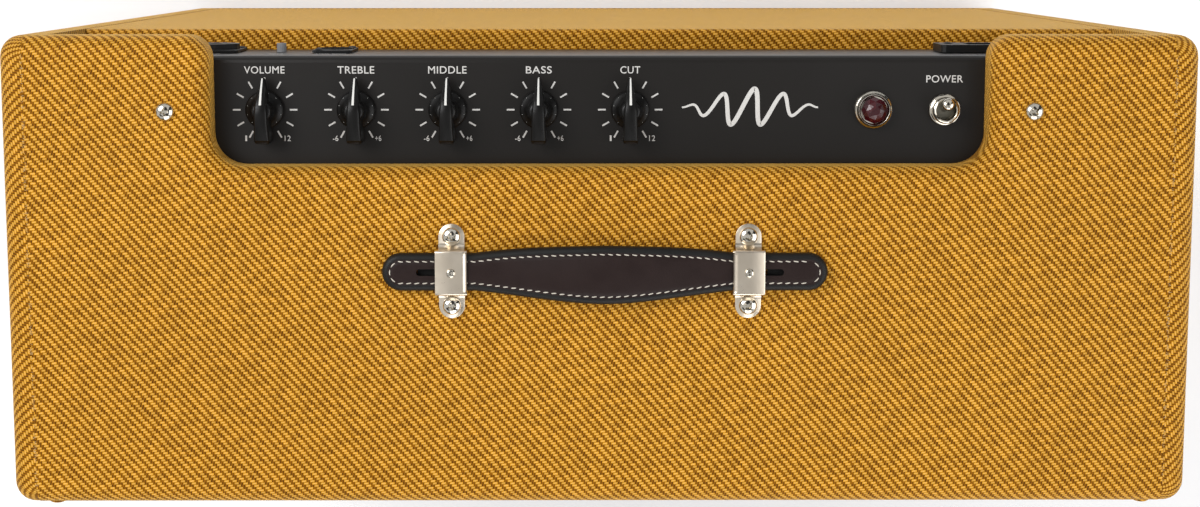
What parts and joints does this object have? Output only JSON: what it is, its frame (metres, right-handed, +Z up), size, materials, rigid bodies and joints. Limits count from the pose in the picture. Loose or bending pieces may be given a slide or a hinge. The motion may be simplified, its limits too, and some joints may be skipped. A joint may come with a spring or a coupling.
{
  "type": "guitar amplifier",
  "caption": "Compact combo guitar amplifier in lacquered tweed with a recessed top control panel, pointer knobs, strap handle and rear sockets.",
  "frame": {"origin": "on the floor under the middle of the cabinet's bounding box, at the bottom of the feet", "axes": "+X to the right seen from the front, +Y to the rear where the control panel and the sockets are, +Z up"},
  "size_m": [0.52, 0.2469, 0.4845],
  "materials": {
    "tweed_board": "golden tweed cloth under amber lacquer, over solid board",
    "bare_wood": "unfinished ply",
    "grille_cloth": "woven oxblood grille cloth with a pale stripe",
    "rubber": "matt moulded rubber",
    "nickel": "warm nickel plate, lightly worn",
    "leather": "dark brown leather with black rim and white stitching",
    "black_enamel": "satin black with pale grey lettering",
    "zinc_steel": "zinc-plated sheet",
    "knob_plastic": "black moulded pointer knob with a white line",
    "aluminium": "turned and extruded",
    "ruby_jewel": "faceted translucent ruby",
    "black_plastic": "moulded",
    "grey_plastic": "moulded",
    "circuit_board": "green solder mask",
    "paper_cone": "pressed paper",
    "magnet": "ferrite ring between steel plates",
    "copper_coil": "wound copper wire on a former"
  },
  "bodies": {
    "cabinet": {"back_panel": "tweed_board", "baffle_board": "bare_wood", "bass_potentiometer": "zinc_steel", "bottom_board": "tweed_board", "bracket_screw_1": "nickel", "bracket_screw_2": "nickel", "bracket_screw_3": "nickel", "bracket_screw_4": "nickel", "chassis_cover": "zinc_steel", "chassis_screw_left": "nickel", "chassis_screw_right": "nickel", "chassis_tray": "black_enamel", "cut_potentiometer": "zinc_steel", "front_left_foot": "rubber", "front_right_foot": "rubber", "grille_cloth": "grille_cloth", "ground_lift_switch": "black_plastic", "handle_bracket_left": "nickel", "handle_bracket_right": "nickel", "heat_sink": "aluminium", "input_jack": "black_plastic", "lamp_bezel": "nickel", "lamp_jewel": "ruby_jewel", "left_side_board": "tweed_board", "line_out_jack": "black_plastic", "middle_potentiometer": "zinc_steel", "power_board": "circuit_board", "power_inlet": "black_plastic", "power_transformer": "zinc_steel", "preamp_board": "circuit_board", "rear_left_foot": "rubber", "rear_right_foot": "rubber", "right_side_board": "tweed_board", "speaker_basket": "black_enamel", "speaker_lead": "rubber", "speaker_magnet": "magnet", "speaker_spider": "paper_cone", "speaker_surround": "paper_cone", "strap_pin_left": "nickel", "strap_pin_right": "nickel", "toggle_switch": "nickel", "top_board": "tweed_board", "treble_potentiometer": "zinc_steel", "volume_potentiometer": "zinc_steel"},
    "volume_control": {"volume_knob": "knob_plastic", "volume_shaft": "aluminium"},
    "treble_control": {"treble_knob": "knob_plastic", "treble_shaft": "aluminium"},
    "middle_control": {"middle_knob": "knob_plastic", "middle_shaft": "aluminium"},
    "bass_control": {"bass_knob": "knob_plastic", "bass_shaft": "aluminium"},
    "cut_control": {"cut_knob": "knob_plastic", "cut_shaft": "aluminium"},
    "power_toggle": {"toggle_lever": "nickel"},
    "ground_lift": {"ground_lift_button": "grey_plastic"},
    "moving_cone": {"speaker_cone": "paper_cone", "voice_coil": "copper_coil"},
    "handle": {"handle_strap": "leather"}
  },
  "joints": [
    {"name": "volume_turn", "type": "hinge", "parent": "cabinet", "child": "volume_control", "pos_m": [-0.1474, 0.0903, 0.4555], "axis": [0, 0, 1], "range_deg": [-150, 150]},
    {"name": "treble_turn", "type": "hinge", "parent": "cabinet", "child": "treble_control", "pos_m": [-0.1072, 0.0903, 0.4555], "axis": [0, 0, 1], "range_deg": [-150, 150]},
    {"name": "middle_turn", "type": "hinge", "parent": "cabinet", "child": "middle_control", "pos_m": [-0.067, 0.0903, 0.4555], "axis": [0, 0, 1], "range_deg": [-150, 150]},
    {"name": "bass_turn", "type": "hinge", "parent": "cabinet", "child": "bass_control", "pos_m": [-0.0268, 0.0903, 0.4555], "axis": [0, 0, 1], "range_deg": [-150, 150]},
    {"name": "cut_turn", "type": "hinge", "parent": "cabinet", "child": "cut_control", "pos_m": [0.0134, 0.0903, 0.4555], "axis": [0, 0, 1], "range_deg": [-150, 150]},
    {"name": "power_switch", "type": "hinge", "parent": "cabinet", "child": "power_toggle", "pos_m": [0.1518, 0.0903, 0.4535], "axis": [1, 0, 0], "range_deg": [0, 26]},
    {"name": "ground_lift_press", "type": "slide", "parent": "cabinet", "child": "ground_lift", "axis": [0, -1, 0], "range_m": [0, 0.0015]},
    {"name": "cone_travel", "type": "slide", "parent": "cabinet", "child": "moving_cone", "axis": [0, 0.996, -0.0897], "range_m": [-0.003, 0.003], "stiffness_N_per_m": 1500},
    {"name": "strap_slide", "type": "slide", "parent": "cabinet", "child": "handle", "axis": [1, 0, 0], "range_m": [-0.0025, 0.0025]}
  ]
}
